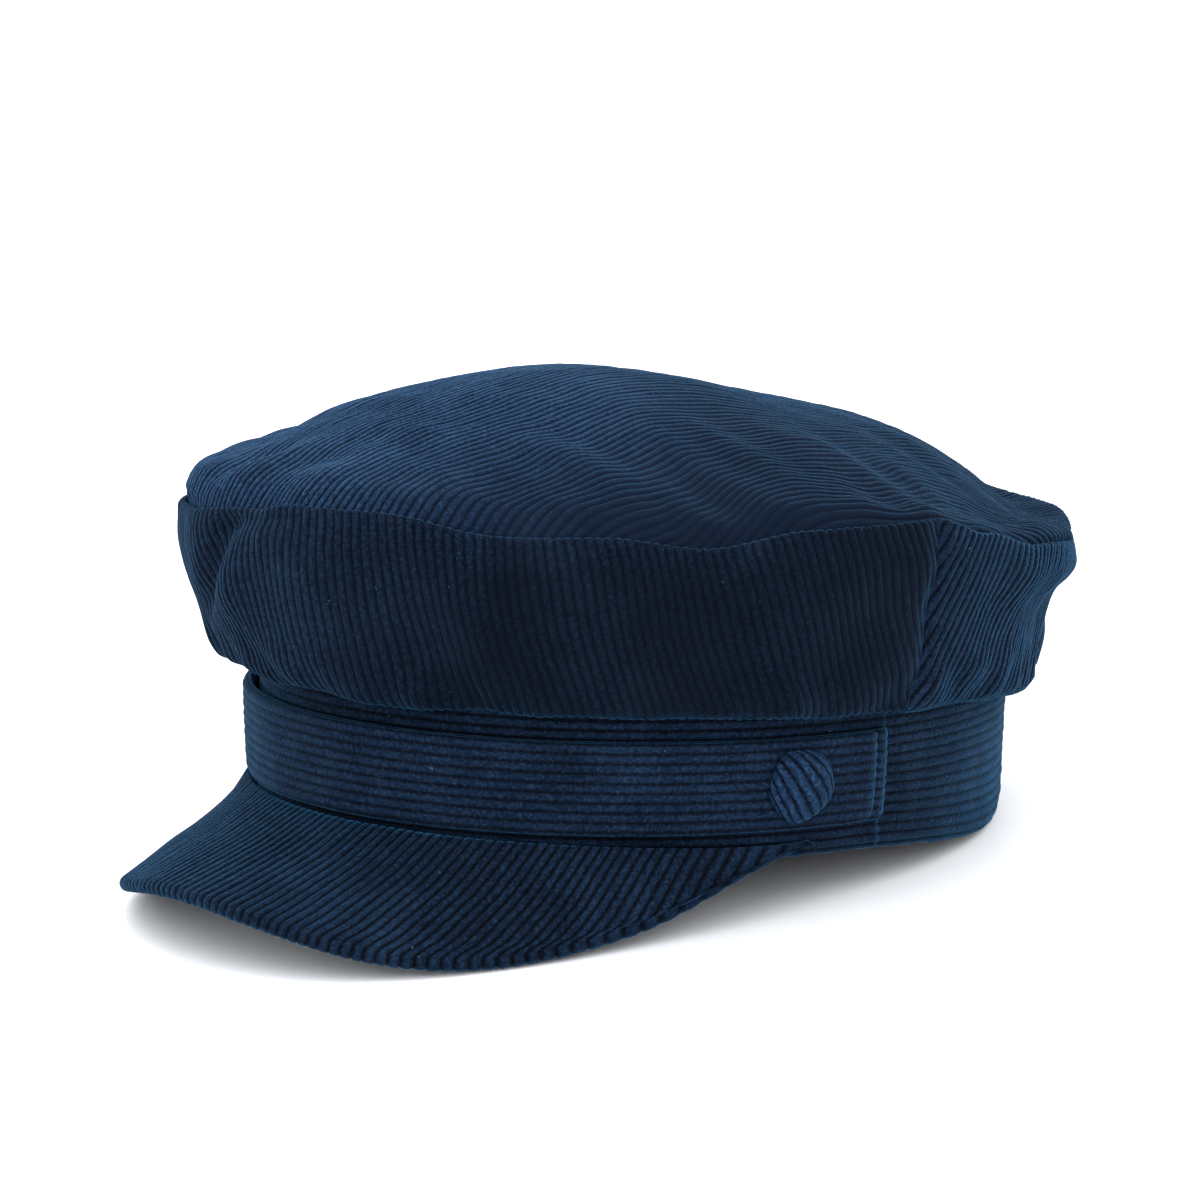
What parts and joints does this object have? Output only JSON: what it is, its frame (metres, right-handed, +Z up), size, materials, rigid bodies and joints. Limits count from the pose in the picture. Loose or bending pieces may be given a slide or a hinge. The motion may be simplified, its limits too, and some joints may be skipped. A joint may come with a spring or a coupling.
{
  "type": "newsboy cap",
  "caption": "Navy corduroy baker-boy cap with a full soft crown, a stiffened arched peak and a front strap held by covered buttons.",
  "frame": {"origin": "centre of the cap's footprint box, on the surface that the cap rests on", "axes": "+Z up with the cap resting on its peak and the back of its band, -Y towards the front, where the peak is, +X towards the wearer's left"},
  "size_m": [0.2062, 0.2758, 0.1219],
  "materials": {
    "corduroy": "navy cotton corduroy, 2.3 mm cords with a soft pile",
    "canvas_interlining": "stiff woven canvas",
    "sweatband_twill": "dark woven twill tape",
    "satin_lining": "dark satin, slightly glossy",
    "label_weave": "plain woven label, blank",
    "peak_board": "flexible white board",
    "button_metal": "plain pressed metal",
    "sewing_thread": "navy sewing thread"
  },
  "bodies": {
    "cap": {"band_cover": "corduroy", "band_interlining": "canvas_interlining", "sweatband": "sweatband_twill", "size_label": "label_weave", "crown_side_front": "corduroy", "lining_side_front": "satin_lining", "crown_side_back": "corduroy", "lining_side_back": "satin_lining", "crown_top": "corduroy", "lining_top": "satin_lining", "left_button_stitch": "sewing_thread", "right_button_stitch": "sewing_thread"},
    "peak": {"peak_top_cover": "corduroy", "peak_board": "peak_board", "peak_under_cover": "corduroy"},
    "strap": {"strap_face": "corduroy", "strap_backing": "corduroy"},
    "left_button": {"left_button_cover": "corduroy", "left_button_shell": "button_metal", "left_button_plate": "button_metal", "left_button_shank": "button_metal"},
    "right_button": {"right_button_cover": "corduroy", "right_button_shell": "button_metal", "right_button_plate": "button_metal", "right_button_shank": "button_metal"}
  },
  "joints": [
    {"name": "peak_flex", "type": "hinge", "parent": "cap", "child": "peak", "pos_m": [0, -0.06327, 0.01808], "axis": [-1, 0, 0], "range_deg": [-1.5, 5], "stiffness_Nm_per_rad": 2},
    {"name": "strap_swing", "type": "hinge", "parent": "cap", "child": "strap", "pos_m": [0, -0.01784, 0.03174], "axis": [-1, 0, 0], "range_deg": [-1, 3]},
    {"name": "left_button_turn", "type": "hinge", "parent": "cap", "child": "left_button", "pos_m": [0.08528, -0.01784, 0.03174], "axis": [0.9761, -0.2163, 0.0223], "range_deg": [-30, 30]},
    {"name": "right_button_turn", "type": "hinge", "parent": "cap", "child": "right_button", "pos_m": [-0.08528, -0.01784, 0.03174], "axis": [-0.9761, -0.2163, 0.0223], "range_deg": [-30, 30]}
  ]
}
